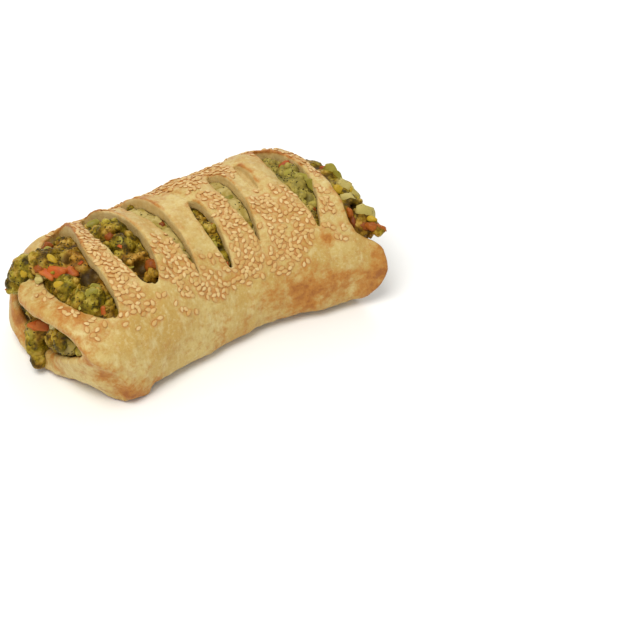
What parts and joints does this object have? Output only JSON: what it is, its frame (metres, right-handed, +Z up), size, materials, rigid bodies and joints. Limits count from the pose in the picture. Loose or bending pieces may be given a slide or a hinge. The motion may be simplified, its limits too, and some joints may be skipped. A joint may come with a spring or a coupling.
{
  "type": "vegetable strudel",
  "caption": "Baked puff pastry loaf wrapped round a vegetable filling, slit across its top, sown with sesame seeds and open at both ends.",
  "frame": {"origin": "under the middle of the bounding box, on the table", "axes": "+X along the strudel's length, -Y its long near side, +Z up"},
  "size_m": [0.172, 0.1064, 0.0569],
  "materials": {
    "pastry": "baked puff pastry, egg washed, pale gold with browned edges, sesame seeds on top",
    "vegetables": "moist cooked broccoli, carrot, sweetcorn and potato in a pale green sauce"
  },
  "bodies": {
    "root": {"crust": "pastry", "filling": "vegetables"}
  },
  "joints": []
}
